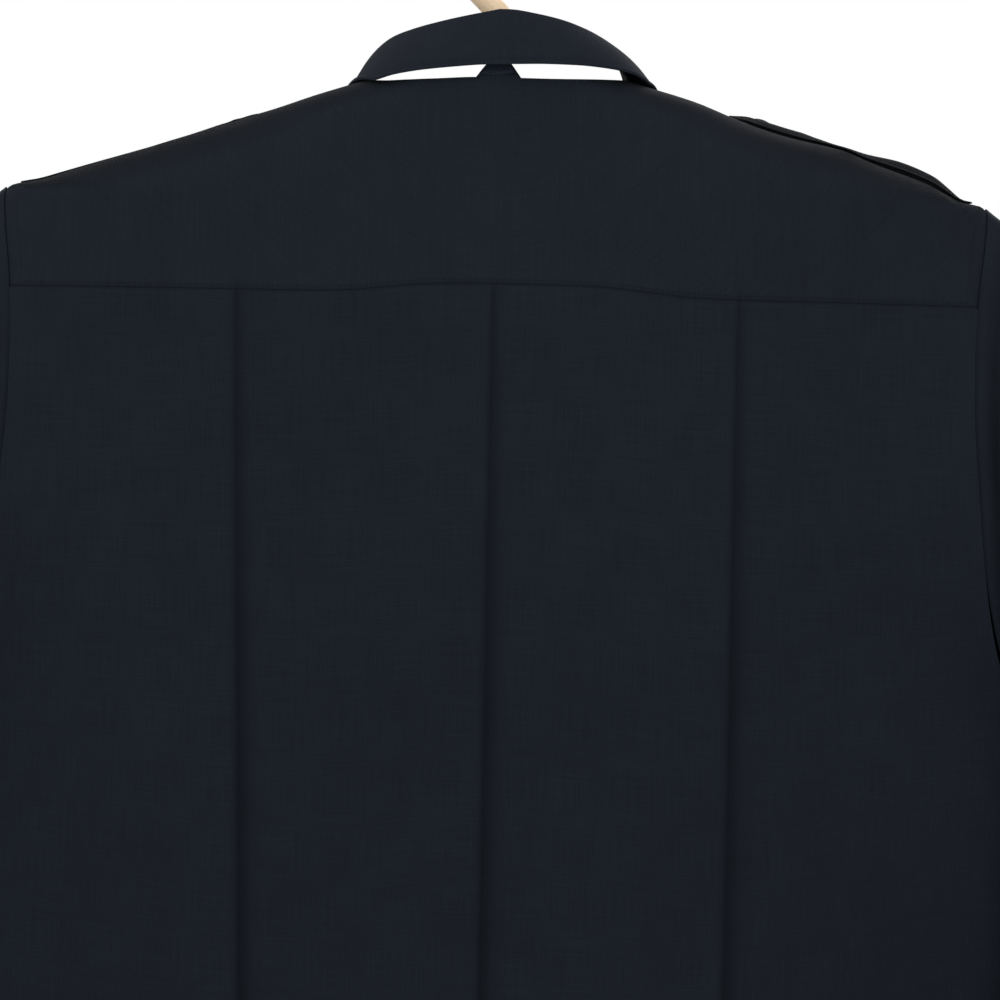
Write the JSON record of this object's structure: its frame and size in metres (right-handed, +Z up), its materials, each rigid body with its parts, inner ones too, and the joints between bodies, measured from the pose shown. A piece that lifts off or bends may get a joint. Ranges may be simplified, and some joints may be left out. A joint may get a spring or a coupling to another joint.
{
  "type": "police uniform shirt on a hanger",
  "caption": "Dark navy long-sleeved uniform shirt with a back yoke, sewn creases and shoulder straps, hanging on a plain hanger with a round hook.",
  "frame": {"origin": "underside of the hook's crown, where a rail touches it", "axes": "+Z up, +Y out of the garment's back, +X to the wearer's left"},
  "size_m": [0.7436, 0.1298, 0.8977],
  "materials": {
    "navy_cloth": "matte fine weave",
    "navy_button": "satin",
    "hanger_beige": "smooth satin"
  },
  "bodies": {
    "root": {"yoke": "navy_cloth", "back": "navy_cloth", "front_left": "navy_cloth", "front_right": "navy_cloth", "placket": "navy_cloth", "collar": "navy_cloth", "sleeve_left": "navy_cloth", "sleeve_right": "navy_cloth", "cuff_left": "navy_cloth", "cuff_right": "navy_cloth", "strap_left": "navy_cloth", "strap_right": "navy_cloth", "pocket_left": "navy_cloth", "pocket_right": "navy_cloth", "flap_left": "navy_cloth", "flap_right": "navy_cloth", "button_front_1": "navy_button", "button_front_2": "navy_button", "button_front_3": "navy_button", "button_front_4": "navy_button", "button_front_5": "navy_button", "button_front_6": "navy_button", "button_front_7": "navy_button", "button_flap_left": "navy_button", "button_flap_right": "navy_button", "button_strap_left": "navy_button", "button_strap_right": "navy_button", "button_cuff_left": "navy_button", "button_cuff_right": "navy_button", "hanger_body": "hanger_beige", "hanger_hook": "hanger_beige"}
  },
  "joints": []
}
